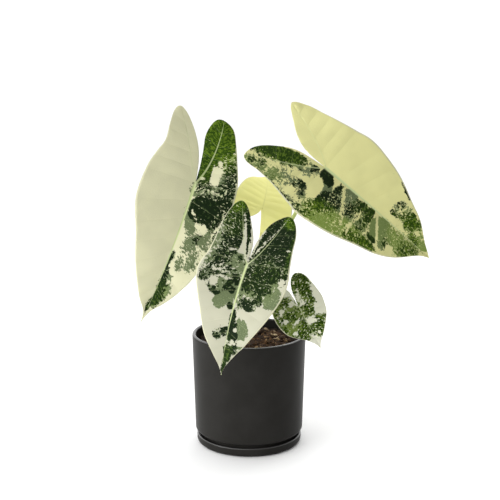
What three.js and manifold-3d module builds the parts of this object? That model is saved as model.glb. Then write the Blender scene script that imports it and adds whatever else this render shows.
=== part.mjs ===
// A variegated 'Frydek' alocasia in a straight cylinder pot on its saucer.
// Millimetres, +Z up, origin at the middle of the saucer's underside, front towards -Y.

import * as THREE from 'three';
import { mergeVertices } from 'three/addons/utils/BufferGeometryUtils.js';
import Module from 'manifold-3d';

const wasm = await Module();
wasm.setup();

// Clearance between neighbouring pieces
const GAP = 0.3;

// Saucer
const SAUCER_RADIUS = 70.5;
const SAUCER_HEIGHT = 12.5;
const SAUCER_WALL = 3.5;
const SAUCER_FLOOR = 4;
const SAUCER_EDGE = 6;

// Pot
const POT_RIM_RADIUS = 76;
const POT_LOW_RADIUS = 72.4;
const POT_TOP = 151;
const POT_WALL = 5;
const POT_FLOOR = 6;
const POT_CORNER = 4.5;
const POT_BODY_BOTTOM = 17;
const FOOT_RADIUS = 64;
const FOOT_WIDTH = 8;
const FOOT_DEPTH = 3;
const DRAIN_RADIUS = 6;
const POT_SIDES = 48;

// Soil
const SOIL_TOP = 138.5;
const CHUNK_COUNT = 72;
const CHUNK_SIZE = 3.9;
const CHUNK_SHAPE = [1.15, 0.85, 0.75];
const CHUNK_SEED = 20;
const GOLDEN_ANGLE = Math.PI * (3 - Math.sqrt(5));

// Corm, the short stem base that the leaf stalks grow from
const CORM_CENTRE = [-10, 14];
const CORM_RADIUS = 14.5;
const CORM_RING = 7.3;
const CORM_BOTTOM = 104;
const CORM_TOP = 149;
const CORM_SIDES = 16;
const CORM_PROFILE = [[0.6, 104], [0.95, 116], [1, 130.5], [0.96, 141.5], [0.8, 147]];
const SOCKET_DEPTH = 8;

// Blade thickness, ribs on the underside, and the waves of the margin
const BLADE_THICKNESS = 0.9;
const MIDRIB_HEIGHT = 1.1;
const LOBE_RIB_HEIGHT = 0.7;
const VEIN_HEIGHT = 0.45;
const LOBE_RIB_BOW = 0.75;
const LATERAL_SLANT = 0.25;
const SINUS_BULGE = 0.3;
const WAVES_PER_HALF = 2.6;
const WAVE_OFFSET = 0.35;

// Leaf stalks
const STALK_SIDES = 10;
const STALK_STEPS = 20;
const STALK_TAPER = 1.6;

const COLORS = {
  pot: 0x2b2a29,
  soil: 0x4a3423,
  corm: 0x8a6b48,
  stalk: 0xb9c56a,
  blade: 0x8fa06a,
  backBlade: 0xdedb8c,
};

// The blades. A blade hangs from its attach point at the top of its stalk. heading is the compass
// direction of its tip (0 towards the front, 90 towards +X), droop is the slope of its axis below
// level and roll turns it about that axis. bend curls the tip down and lobeBend the lobes, over one
// blade length. fold lifts each half out of the plane. sweep and lobeShift curve the axis sideways.
// Outlines are [along the axis, out from it]: front runs from the tip to the shoulder level with the
// attach point, lobe goes on to the lobe's tip, and sinus from there back to the attach point. pull
// sets how far a stalk keeps its first and its last direction.
const BLADES = [
  {
    name: 'left',
    attach: [-71, 18, 350],
    heading: -32, droop: 59, roll: 38,
    length: 197.5, bend: 29, lobeBend: 5,
    fold: [13.5, 13.5], sweep: -7, lobeShift: -20,
    rows: [16, 10], columns: 5, wave: 1.6, quilt: 0.8,
    halves: [
      {
        front: [[197.5, 0], [181, 5], [162, 19], [124, 39], [87, 54], [45, 70], [4, 69]],
        lobe: [[-20, 62], [-40, 53], [-64, 49], [-84, 42], [-94, 32]],
        sinus: [[-86, 21], [-63, 10], [-38, 3.5], [0, 0]],
      },
      {
        front: [[197.5, 0], [181, 5], [161, 20], [140, 32], [116, 42], [60, 56], [0, 57]],
        lobe: [[-40, 50], [-64, 46.5], [-84, 43], [-93, 31]],
        sinus: [[-90, 18], [-69, 4.5], [-40, 1.5], [0, 0]],
      },
    ],
    stalk: { angle: -96, lean: 14, radius: [3.6, 2.5], pull: [0.45, 0.22] },
  },
  {
    name: 'right',
    attach: [98, -15, 375],
    heading: 76, droop: 38, roll: -51,
    length: 184.5, bend: 25.5, lobeBend: 6,
    fold: [12, 9], sweep: 9.5, lobeShift: -5,
    rows: [16, 10], columns: 5, wave: 1.6, quilt: 0.8,
    halves: [
      {
        front: [[184.5, 0], [169, 10], [144, 36], [120, 51.5], [92, 62.5], [55, 77.5], [14, 84], [-5, 80]],
        lobe: [[-32, 73], [-58, 70], [-78, 68], [-87, 59]],
        sinus: [[-84, 40], [-68, 22], [-42, 6], [0, 0]],
      },
      {
        front: [[184.5, 0], [166, 12], [141, 30], [112, 42], [72, 60], [28, 70], [0, 66]],
        lobe: [[-24, 61], [-48, 57], [-70, 54], [-88, 44]],
        sinus: [[-68, 22.5], [-50, 9], [-30, 1.8], [0, 0]],
      },
    ],
    stalk: { angle: 84, lean: 12, radius: [3.6, 2.4], pull: [0.5, 0.3] },
  },
  {
    name: 'front',
    attach: [-2, -78, 262],
    heading: -32.5, droop: 52, roll: 10,
    length: 143, bend: 24, lobeBend: 5,
    fold: [8, 9.5], sweep: 5, lobeShift: -4,
    rows: [16, 10], columns: 5, wave: 1.2, quilt: 0.8,
    halves: [
      {
        front: [[143, 0], [133, 4], [116, 17], [97, 31], [66, 44], [33, 58], [16, 60.5], [-4, 55]],
        lobe: [[-24, 52.5], [-44, 50.5], [-63, 46], [-77, 40], [-83, 32]],
        sinus: [[-76, 22.5], [-57, 12.5], [-30, 2], [0, 0]],
      },
      {
        front: [[143, 0], [132, 4], [115, 16], [100, 29], [69, 50], [36, 63.5], [14, 64.5], [-2, 61]],
        lobe: [[-24, 58], [-45, 55.5], [-63, 49], [-72, 39]],
        sinus: [[-66, 24], [-54, 12], [-30, 2], [0, 0]],
      },
    ],
    stalk: { angle: -26, lean: 12, radius: [3.5, 2.4], pull: [0.45, 0.28] },
  },
  {
    name: 'small',
    attach: [65, -45, 197],
    heading: 51, droop: 53, roll: -41,
    length: 60, bend: 24, lobeBend: 5,
    fold: [5.5, 11], sweep: 2.5, lobeShift: 1,
    rows: [10, 6], columns: 4, wave: 0.8, quilt: 0.5,
    halves: [
      {
        front: [[60, 0], [53, 3], [43, 11], [35, 21], [26, 31], [14, 36], [0, 37]],
        lobe: [[-14, 34], [-27, 28], [-34, 18]],
        sinus: [[-28, 4.5], [-14, 1.2], [0, 0]],
      },
      {
        front: [[60, 0], [54, 3], [40, 15], [22, 28], [8, 32], [-2, 33]],
        lobe: [[-20, 30], [-35, 25], [-42, 16]],
        sinus: [[-38, 7], [-24, 1.5], [0, 0]],
      },
    ],
    stalk: { angle: 32, lean: 14, radius: [2.4, 1.6], pull: [0.6, 0.4] },
  },
  {
    name: 'back',
    attach: [19, 68, 309.5],
    heading: 168, droop: -32, roll: -25.5,
    length: 101, bend: 35, lobeBend: -35,
    fold: [0.5, 0.5], sweep: 0, lobeShift: 0,
    rows: [16, 10], columns: 5, wave: 1.2, quilt: 0.6,
    halves: [
      {
        front: [[101, 0], [94, 2.5], [80, 12], [50, 31], [25, 39], [0, 42]],
        lobe: [[-21, 40], [-44, 35], [-60, 24], [-66, 11]],
        sinus: [[-58, 3.5], [-30, 1.5], [0, 0]],
      },
      {
        front: [[101, 0], [94, 2.5], [80, 12], [50, 31], [25, 39], [0, 42]],
        lobe: [[-18, 41], [-30, 37], [-39, 31], [-41, 23]],
        sinus: [[-29, 13], [-15, 4], [0, 0]],
      },
    ],
    stalk: { angle: 150, lean: 14, radius: [3.6, 2.4], pull: [0.4, 0.45], arrival: [0, -0.35, 0.94] },
  },
];

const UP = new THREE.Vector3(0, 0, 1);
const radians = THREE.MathUtils.degToRad;

// Repeatable random numbers from 0 to 1
function randomFrom(seed) {
  let state = seed;
  return () => {
    state = (state * 1664525 + 1013904223) % 4294967296;
    return state / 4294967296;
  };
}

// Solids for joining and cutting
function toSolid(geometry) {
  const plain = geometry.index ? geometry.toNonIndexed() : geometry.clone();
  plain.deleteAttribute('normal');
  plain.deleteAttribute('uv');
  const merged = mergeVertices(plain, 1e-3);
  const mesh = new wasm.Mesh({
    numProp: 3,
    vertProperties: new Float32Array(merged.attributes.position.array),
    triVerts: new Uint32Array(merged.index.array),
  });
  return new wasm.Manifold(mesh);
}

function toGeometry(solid) {
  const mesh = solid.getMesh();
  const geometry = new THREE.BufferGeometry();
  geometry.setAttribute('position', new THREE.BufferAttribute(mesh.vertProperties, 3));
  geometry.setIndex(new THREE.BufferAttribute(mesh.triVerts, 1));
  geometry.computeVertexNormals();
  return geometry;
}

function meshOf(name, geometry, color, roughness) {
  const material = new THREE.MeshStandardMaterial({ color, roughness, metalness: 0 });
  const mesh = new THREE.Mesh(geometry, material);
  mesh.name = name;
  return mesh;
}

// A body turned about the Z axis from a closed profile of [radius, height]
function turned(profile, sides) {
  const points = profile.map(([radius, height]) => new THREE.Vector2(radius, height));
  const geometry = new THREE.LatheGeometry(points, sides);
  geometry.rotateX(Math.PI / 2);
  return geometry;
}

// Points on a quarter or half round corner, from one angle to another in degrees
function arc(centre, radius, from, to, steps) {
  const points = [];
  for (let i = 0; i <= steps; i += 1) {
    const angle = radians(from + ((to - from) * i) / steps);
    points.push([centre[0] + radius * Math.cos(angle), centre[1] + radius * Math.sin(angle)]);
  }
  return points;
}

function makeSaucer() {
  const lip = SAUCER_WALL / 2;
  const profile = [
    [0, 0],
    ...arc([SAUCER_RADIUS - SAUCER_EDGE, SAUCER_EDGE], SAUCER_EDGE, -90, 0, 4),
    ...arc([SAUCER_RADIUS - lip, SAUCER_HEIGHT - lip], lip, 0, 180, 4),
    [SAUCER_RADIUS - SAUCER_WALL, SAUCER_FLOOR],
    [0, SAUCER_FLOOR],
  ];
  return meshOf('saucer', turned(profile, POT_SIDES), COLORS.pot, 0.6);
}

// Inner radius of the pot at a height
function potInside(height) {
  const share = (height - POT_BODY_BOTTOM) / (POT_TOP - POT_BODY_BOTTOM);
  return THREE.MathUtils.lerp(POT_LOW_RADIUS, POT_RIM_RADIUS, share) - POT_WALL;
}

const FOOT_BOTTOM = SAUCER_FLOOR + GAP;
const FLOOR_BOTTOM = FOOT_BOTTOM + FOOT_DEPTH;
const FLOOR_TOP = FLOOR_BOTTOM + POT_FLOOR;

function makePot() {
  const lip = POT_WALL / 2;
  const profile = [
    [DRAIN_RADIUS, FLOOR_BOTTOM],
    [FOOT_RADIUS - FOOT_WIDTH, FLOOR_BOTTOM],
    [FOOT_RADIUS - FOOT_WIDTH + 1, FOOT_BOTTOM],
    [FOOT_RADIUS, FOOT_BOTTOM],
    [FOOT_RADIUS, POT_BODY_BOTTOM],
    ...arc([POT_LOW_RADIUS - POT_CORNER, POT_BODY_BOTTOM + POT_CORNER], POT_CORNER, -90, 0, 3),
    ...arc([POT_RIM_RADIUS - lip, POT_TOP - lip], lip, 0, 180, 6),
    [potInside(POT_BODY_BOTTOM + POT_CORNER), POT_BODY_BOTTOM + POT_CORNER],
    [FOOT_RADIUS - POT_WALL, FLOOR_TOP],
    [DRAIN_RADIUS, FLOOR_TOP],
    [DRAIN_RADIUS, FLOOR_BOTTOM],
  ];
  return meshOf('pot', turned(profile, POT_SIDES), COLORS.pot, 0.6);
}

// Bark and pumice chunks half sunk in the top of the mix, on a spiral from the middle to the wall
function chunksOfSoil() {
  const random = randomFrom(CHUNK_SEED);
  const margin = 1.6 * CHUNK_SIZE;
  const outer = potInside(SOIL_TOP) - margin;
  const chunks = [];
  for (let i = 0; i < CHUNK_COUNT; i += 1) {
    const radius = outer * Math.sqrt((i + 0.5) / CHUNK_COUNT);
    const angle = i * GOLDEN_ANGLE + 0.6 * random();
    const size = CHUNK_SIZE * (0.7 + 0.6 * random());
    const chunk = new THREE.IcosahedronGeometry(size, 0);
    chunk.scale(...CHUNK_SHAPE);
    chunk.rotateX(random() - 0.5);
    chunk.rotateZ(2 * Math.PI * random());
    const x = radius * Math.cos(angle);
    const y = radius * Math.sin(angle);
    chunk.translate(x, y, SOIL_TOP + size * (0.4 * random() - 0.25));
    if (Math.hypot(x - CORM_CENTRE[0], y - CORM_CENTRE[1]) > CORM_RADIUS + margin) {
      chunks.push(toSolid(chunk));
    }
  }
  return chunks;
}

// The potting mix: a body that fills the pot, fused with its chunks, with a well for the corm
function makeSoil() {
  const low = POT_BODY_BOTTOM + POT_CORNER;
  const profile = [
    [0, FLOOR_TOP + GAP],
    [FOOT_RADIUS - POT_WALL - 1, FLOOR_TOP + GAP],
    [potInside(low) - 2 * GAP, low + GAP],
    [potInside(SOIL_TOP) - 2 * GAP, SOIL_TOP],
    [0, SOIL_TOP],
  ];
  let soil = toSolid(turned(profile, POT_SIDES / 2));
  chunksOfSoil().forEach((chunk) => {
    soil = soil.add(chunk);
  });
  const radius = CORM_RADIUS + 2 * GAP;
  const well = new THREE.CylinderGeometry(radius, radius, POT_TOP, CORM_SIDES);
  well.rotateX(Math.PI / 2);
  well.translate(...CORM_CENTRE, CORM_BOTTOM - GAP + POT_TOP / 2);
  return meshOf('soil', toGeometry(soil.subtract(toSolid(well))), COLORS.soil, 0.95);
}

// Arc of constant curvature: how far it goes forward and sideways over a length
function arcReach(curvature, length) {
  if (Math.abs(curvature) < 1e-6) {
    return [length, 0];
  }
  return [Math.sin(curvature * length) / curvature, (1 - Math.cos(curvature * length)) / curvature];
}

// A blade's frame: axis towards the tip, side towards its right half, face out of its upper face
function bladeFrame(blade) {
  const heading = radians(blade.heading);
  const droop = radians(blade.droop);
  const roll = radians(blade.roll);
  const level = new THREE.Vector3(Math.sin(heading), -Math.cos(heading), 0);
  const axis = level.clone().multiplyScalar(Math.cos(droop)).addScaledVector(UP, -Math.sin(droop));
  const levelSide = new THREE.Vector3().crossVectors(UP, level).normalize();
  const face = new THREE.Vector3().crossVectors(axis, levelSide);
  face.multiplyScalar(Math.cos(roll)).addScaledVector(levelSide, Math.sin(roll));
  const side = new THREE.Vector3().crossVectors(face, axis);
  return { axis, side, face };
}

// A flat outline point carried onto the bent and folded blade. half is 0 for the half on the
// side's negative end and 1 for the other
function onBlade(blade, frame, along, out, half, lift) {
  const towardsTip = along >= 0;
  const curvature = radians(towardsTip ? blade.bend : blade.lobeBend) / blade.length;
  const [forward, down] = arcReach(curvature, along);
  const turn = curvature * along;
  const point = new THREE.Vector3(...blade.attach);
  point.addScaledVector(frame.axis, forward).addScaledVector(frame.face, -down);
  const [, across] = arcReach(radians(blade.sweep) / blade.length, Math.max(along, 0));
  const lobeShare = THREE.MathUtils.clamp(-along / (0.5 * blade.length), 0, 1.5);
  point.addScaledVector(frame.side, across + blade.lobeShift * lobeShare * lobeShare);
  const face = frame.face.clone().multiplyScalar(Math.cos(turn));
  face.addScaledVector(frame.axis, Math.sin(turn));
  const fold = radians(blade.fold[half]);
  const sign = half === 0 ? -1 : 1;
  point.addScaledVector(frame.side, sign * (out * Math.cos(fold) - lift * Math.sin(fold)));
  point.addScaledVector(face, out * Math.sin(fold) + lift * Math.cos(fold));
  return point;
}

// Evenly spaced points of a spline between two of its parameters. A slant draws those between back
// towards the start
function spaced(curve, from, to, count, slant = 0) {
  const fine = 200;
  const points = [];
  const lengths = [0];
  for (let i = 0; i <= fine; i += 1) {
    points.push(curve.getPoint(from + ((to - from) * i) / fine));
    if (i > 0) {
      lengths.push(lengths[i - 1] + points[i].distanceTo(points[i - 1]));
    }
  }
  const picked = [];
  let at = 0;
  for (let i = 0; i <= count; i += 1) {
    const even = i / count;
    const wanted = lengths[fine] * even * (1 - slant * Math.sqrt(1 - even));
    while (at < fine - 1 && lengths[at + 1] < wanted) {
      at += 1;
    }
    const span = lengths[at + 1] - lengths[at];
    const share = span > 0 ? Math.min((wanted - lengths[at]) / span, 1) : 0;
    picked.push(points[at].clone().lerp(points[at + 1], share));
  }
  return picked;
}

// A half's margin as one spline, in three parts: tip to shoulder, shoulder to lobe tip, and attach
// point to lobe tip
function marginOf(blade, half) {
  const { front, lobe, sinus } = blade.halves[half];
  const knots = [...front, ...lobe, ...sinus].map(([x, y]) => new THREE.Vector2(x, y));
  const curve = new THREE.SplineCurve(knots);
  const shoulder = (front.length - 1) / (knots.length - 1);
  const lobeEnd = shoulder + lobe.length / (knots.length - 1);
  const [frontRows, lobeRows] = blade.rows;
  return {
    front: spaced(curve, 0, shoulder, frontRows, LATERAL_SLANT),
    lobe: spaced(curve, shoulder, lobeEnd, lobeRows),
    sinus: spaced(curve, lobeEnd, 1, lobeRows).reverse(),
  };
}

function addPoint(sheet, flat, half, lift, rib) {
  sheet.points.push(onBlade(sheet.blade, sheet.frame, flat.x, flat.y, half, lift));
  sheet.ribs.push(rib);
  return sheet.points.length - 1;
}

// Rows of points from a spine out to a rim. Every second row is a vein with a rib under it, and the
// rows between bulge upwards. Rows are numbered from the tip, the first of these being firstRow
function addRows(sheet, half, spine, spineIds, rim, firstRow) {
  const { blade } = sheet;
  const [frontRows, lobeRows] = blade.rows;
  return spine.map((from, index) => {
    const row = firstRow + index;
    const ids = [spineIds[index]];
    const along = row / (frontRows + lobeRows);
    const wave = blade.wave * Math.sin(2 * Math.PI * (WAVES_PER_HALF * along + WAVE_OFFSET * half));
    const vein = row % 2 === 0;
    if (from.distanceTo(rim[index]) < 1e-6) {
      return ids;
    }
    for (let column = 1; column <= blade.columns; column += 1) {
      const share = column / blade.columns;
      const bulge = vein ? 0 : blade.quilt * Math.sin(Math.PI * share);
      const rib = vein ? VEIN_HEIGHT * (1 - share) : 0;
      const flat = from.clone().lerp(rim[index], share);
      ids.push(addPoint(sheet, flat, half, bulge + wave * share * share, rib));
    }
    return ids;
  });
}

// Triangles between neighbouring rows. A shorter row repeats its last point
function addTriangles(sheet, half, rows) {
  for (let row = 0; row + 1 < rows.length; row += 1) {
    const near = rows[row];
    const far = rows[row + 1];
    const pick = (ids, index) => ids[Math.min(index, ids.length - 1)];
    for (let column = 0; column + 1 < Math.max(near.length, far.length); column += 1) {
      const start = [pick(near, column), pick(far, column)];
      const end = [pick(near, column + 1), pick(far, column + 1)];
      [[start[0], end[0], end[1]], [start[0], end[1], start[1]]].forEach((face) => {
        if (new Set(face).size === 3) {
          sheet.triangles.push(half === 0 ? face.reverse() : face);
        }
      });
    }
  }
}

// The rib of a lobe, from the attach point to the lobe's tip, bowed towards the outer margin
function lobeRib(tip, rows) {
  const points = [];
  for (let row = 0; row <= rows; row += 1) {
    const share = row / rows;
    points.push(new THREE.Vector2(tip.x * share, tip.y * share ** LOBE_RIB_BOW));
  }
  return points;
}

// The lobe of a half, on both sides of its own rib. shoulderIds is the row it shares with the front
function addLobe(sheet, half, margin, shoulderIds) {
  const { blade } = sheet;
  const [frontRows, lobeRows] = blade.rows;
  const spine = lobeRib(margin.lobe[lobeRows], lobeRows);
  const ids = spine.map((flat, row) => {
    const rib = LOBE_RIB_HEIGHT * (1 - row / lobeRows);
    return row === 0 ? shoulderIds[0] : addPoint(sheet, flat, half, 0, rib);
  });
  const rest = [spine, ids, margin.lobe].map((list) => list.slice(1));
  addTriangles(sheet, half, [shoulderIds, ...addRows(sheet, half, ...rest, frontRows + 1)]);
  const inner = margin.sinus.map((flat, row) => {
    if (row === 0 || row === lobeRows) {
      return [ids[row]];
    }
    const halfway = spine[row].clone().lerp(flat, 0.5);
    const edgeId = addPoint(sheet, flat, half, 0, 0);
    return [edgeId, addPoint(sheet, halfway, half, SINUS_BULGE * blade.quilt, 0), ids[row]];
  });
  addTriangles(sheet, half, inner);
}

// The middle surface of a blade. Each half has three strips of rows: midrib to front margin, lobe rib
// to lobe margin, and sinus margin to lobe rib
function bladeSurface(blade) {
  const sheet = { blade, frame: bladeFrame(blade), points: [], ribs: [], triangles: [] };
  const [frontRows] = blade.rows;
  const midrib = [];
  const midribIds = [];
  for (let row = 0; row <= frontRows; row += 1) {
    const share = row / frontRows;
    const flat = new THREE.Vector2(blade.length * (1 - share), 0);
    midrib.push(flat);
    midribIds.push(addPoint(sheet, flat, 1, 0, MIDRIB_HEIGHT * Math.sqrt(share)));
  }
  blade.halves.forEach((outline, half) => {
    const margin = marginOf(blade, half);
    const rows = addRows(sheet, half, midrib, midribIds, margin.front, 0);
    addTriangles(sheet, half, rows);
    addLobe(sheet, half, margin, rows[frontRows]);
  });
  return sheet;
}

// A closed sheet around a middle surface: the upper face keeps half the thickness, the underside adds
// the ribs, and every open edge gets a side wall
function thicken(surface, thickness) {
  const { points, ribs, triangles } = surface;
  const normals = points.map(() => new THREE.Vector3());
  const first = new THREE.Vector3();
  const second = new THREE.Vector3();
  triangles.forEach(([i, j, k]) => {
    first.subVectors(points[j], points[i]);
    second.subVectors(points[k], points[i]);
    const area = first.clone().cross(second);
    [i, j, k].forEach((id) => normals[id].add(area));
  });
  normals.forEach((normal) => normal.normalize());
  const moved = (id, distance) => points[id].clone().addScaledVector(normals[id], distance);
  const upper = points.map((point, id) => moved(id, thickness / 2));
  const lower = points.map((point, id) => moved(id, -thickness / 2 - ribs[id]));
  const count = points.length;
  const index = [];
  const edges = new Map();
  triangles.forEach(([i, j, k]) => {
    index.push(i, j, k, count + k, count + j, count + i);
    [[i, j], [j, k], [k, i]].forEach(([from, to]) => edges.set(`${from},${to}`, [from, to]));
  });
  edges.forEach(([from, to]) => {
    if (!edges.has(`${to},${from}`)) {
      index.push(to, from, count + from, to, count + from, count + to);
    }
  });
  const geometry = new THREE.BufferGeometry();
  const positions = [...upper, ...lower].flatMap((point) => point.toArray());
  geometry.setAttribute('position', new THREE.Float32BufferAttribute(positions, 3));
  geometry.setIndex(index);
  geometry.computeVertexNormals();
  return geometry;
}

// The stalk's curve: out of its socket in the corm, and square to the blade at its upper end
function stalkCurve(blade) {
  const { stalk } = blade;
  const angle = radians(stalk.angle);
  const lean = radians(stalk.lean);
  const outward = new THREE.Vector3(Math.sin(angle), -Math.cos(angle), 0);
  const foot = outward.clone().multiplyScalar(CORM_RING);
  foot.add(new THREE.Vector3(...CORM_CENTRE, CORM_TOP - SOCKET_DEPTH));
  const rise = outward.clone().multiplyScalar(Math.sin(lean)).addScaledVector(UP, Math.cos(lean));
  const { face } = bladeFrame(blade);
  const arrival = stalk.arrival ? new THREE.Vector3(...stalk.arrival).normalize() : face;
  const tilt = stalk.radius[1] * Math.sin(arrival.angleTo(face));
  const seat = BLADE_THICKNESS / 2 + MIDRIB_HEIGHT + GAP + tilt;
  const top = new THREE.Vector3(...blade.attach).addScaledVector(face, -seat);
  const reach = foot.distanceTo(top);
  const lower = foot.clone().addScaledVector(rise, stalk.pull[0] * reach);
  const upper = top.clone().addScaledVector(arrival, -stalk.pull[1] * reach);
  return new THREE.CubicBezierCurve3(foot, lower, upper, top);
}

// A round bar bent along a curve, with its radius going from the first value to the second
function taperedBar(curve, radii, sides, steps) {
  const outline = new THREE.Shape();
  outline.absarc(0, 0, 1, 0, 2 * Math.PI);
  const bar = new THREE.ExtrudeGeometry(outline, {
    depth: 1, steps, bevelEnabled: false, curveSegments: sides / 2,
  });
  const frames = curve.computeFrenetFrames(steps);
  const position = bar.attributes.position;
  for (let i = 0; i < position.count; i += 1) {
    const share = position.getZ(i);
    const step = Math.round(share * steps);
    const radius = radii[1] + (radii[0] - radii[1]) * (1 - share) ** STALK_TAPER;
    const point = curve.getPointAt(step / steps);
    point.addScaledVector(frames.normals[step], position.getX(i) * radius);
    point.addScaledVector(frames.binormals[step], position.getY(i) * radius);
    position.setXYZ(i, point.x, point.y, point.z);
  }
  return bar;
}

// The corm: a stubby round base with one socket for each stalk
function makeCorm() {
  const wall = CORM_PROFILE.map(([share, height]) => [CORM_RADIUS * share, height]);
  const profile = [[0, CORM_BOTTOM], ...wall, [0, CORM_TOP]];
  const body = turned(profile, CORM_SIDES);
  body.translate(...CORM_CENTRE, 0);
  let corm = toSolid(body);
  BLADES.forEach((blade) => {
    const curve = stalkCurve(blade);
    const start = curve.getPoint(0);
    const direction = curve.getTangent(0);
    const radius = blade.stalk.radius[0] + 2 * GAP;
    const length = 3 * SOCKET_DEPTH;
    const socket = new THREE.CylinderGeometry(radius, radius, length, STALK_SIDES);
    const turn = new THREE.Quaternion().setFromUnitVectors(new THREE.Vector3(0, 1, 0), direction);
    socket.translate(0, length / 2 - GAP, 0);
    socket.applyQuaternion(turn);
    socket.translate(start.x, start.y, start.z);
    corm = corm.subtract(toSolid(socket));
  });
  return meshOf('corm', toGeometry(corm), COLORS.corm, 0.9);
}

function makeStalk(blade) {
  const bar = taperedBar(stalkCurve(blade), blade.stalk.radius, STALK_SIDES, STALK_STEPS);
  return meshOf(`petiole_${blade.name}`, bar, COLORS.stalk, 0.6);
}

function makeBlade(blade) {
  const color = blade.name === 'back' ? COLORS.backBlade : COLORS.blade;
  const sheet = thicken(bladeSurface(blade), BLADE_THICKNESS);
  return meshOf(`leaf_${blade.name}`, sheet, color, 0.7);
}

const plant = new THREE.Group();
plant.add(makeSaucer(), makePot(), makeSoil(), makeCorm());
BLADES.forEach((blade) => plant.add(makeStalk(blade), makeBlade(blade)));

export default plant;
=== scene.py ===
"""Looks of a potted variegated alocasia 'Frydek': velvety marbled blades on slim stalks, a corm in
bark mix, and a matte black cylinder pot on its saucer. Lengths are in mm until a mesh is made."""

from math import cos, pi, radians, sin  # noqa: E402

import bpy  # noqa: E402
import numpy as np  # noqa: E402
from mathutils import Matrix  # noqa: E402


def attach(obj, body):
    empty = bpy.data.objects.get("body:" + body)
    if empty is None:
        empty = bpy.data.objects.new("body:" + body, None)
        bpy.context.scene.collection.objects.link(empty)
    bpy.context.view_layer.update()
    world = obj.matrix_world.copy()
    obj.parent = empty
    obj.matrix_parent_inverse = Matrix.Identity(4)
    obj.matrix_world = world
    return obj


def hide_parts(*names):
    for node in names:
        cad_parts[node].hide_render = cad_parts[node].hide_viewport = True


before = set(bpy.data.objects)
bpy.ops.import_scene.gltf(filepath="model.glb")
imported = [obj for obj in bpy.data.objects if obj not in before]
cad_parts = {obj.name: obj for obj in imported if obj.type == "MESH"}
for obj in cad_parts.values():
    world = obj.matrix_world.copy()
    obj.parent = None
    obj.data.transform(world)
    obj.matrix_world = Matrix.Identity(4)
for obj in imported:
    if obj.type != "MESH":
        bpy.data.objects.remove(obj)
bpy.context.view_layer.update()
MM = 0.001

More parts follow.
